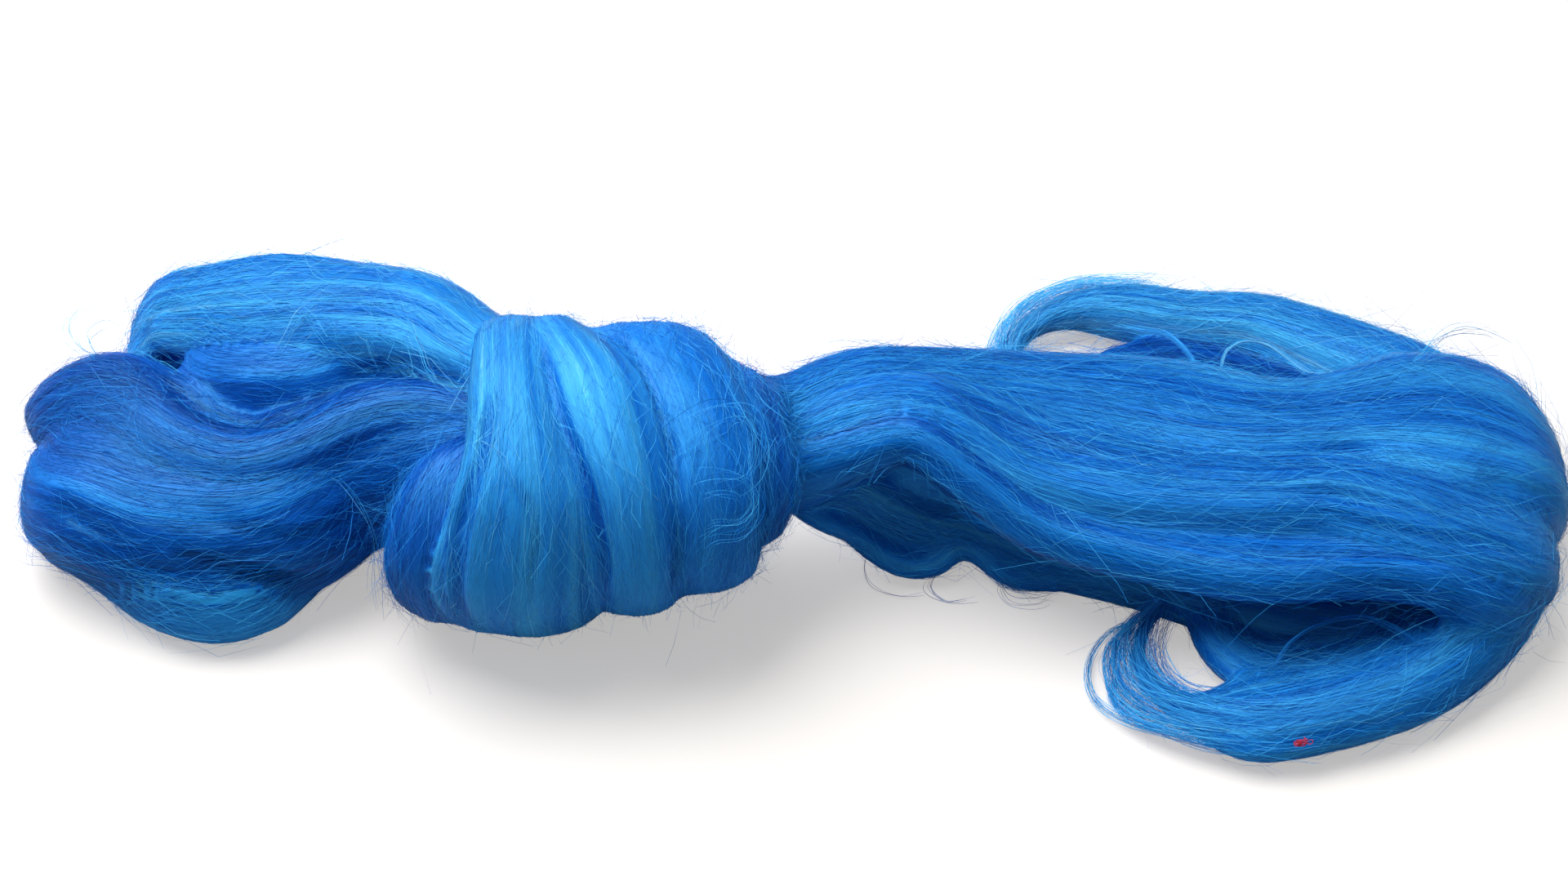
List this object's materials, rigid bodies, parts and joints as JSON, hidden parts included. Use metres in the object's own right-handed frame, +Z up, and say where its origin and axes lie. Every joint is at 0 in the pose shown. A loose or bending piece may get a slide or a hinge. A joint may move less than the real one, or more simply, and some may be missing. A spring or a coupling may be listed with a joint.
{
  "type": "knotted hank of nylon spinning fibre",
  "caption": "Soft hank of combed nylon fibre, folded into bights, tied over itself in a loose knot and fanned out past it, for hand spinning and felting.",
  "frame": {"origin": "on the table, under the middle of the hank's outline", "axes": "+X along the hank from the folded bights to the fanned end, +Y to the hank's back edge, +Z up from the table"},
  "size_m": [0.3807, 0.17, 0.0675],
  "materials": {
    "nylon_fibre": "soft loose fibre with a silky sheen"
  },
  "bodies": {
    "root": {"sliver_hank": "nylon_fibre"}
  },
  "joints": []
}
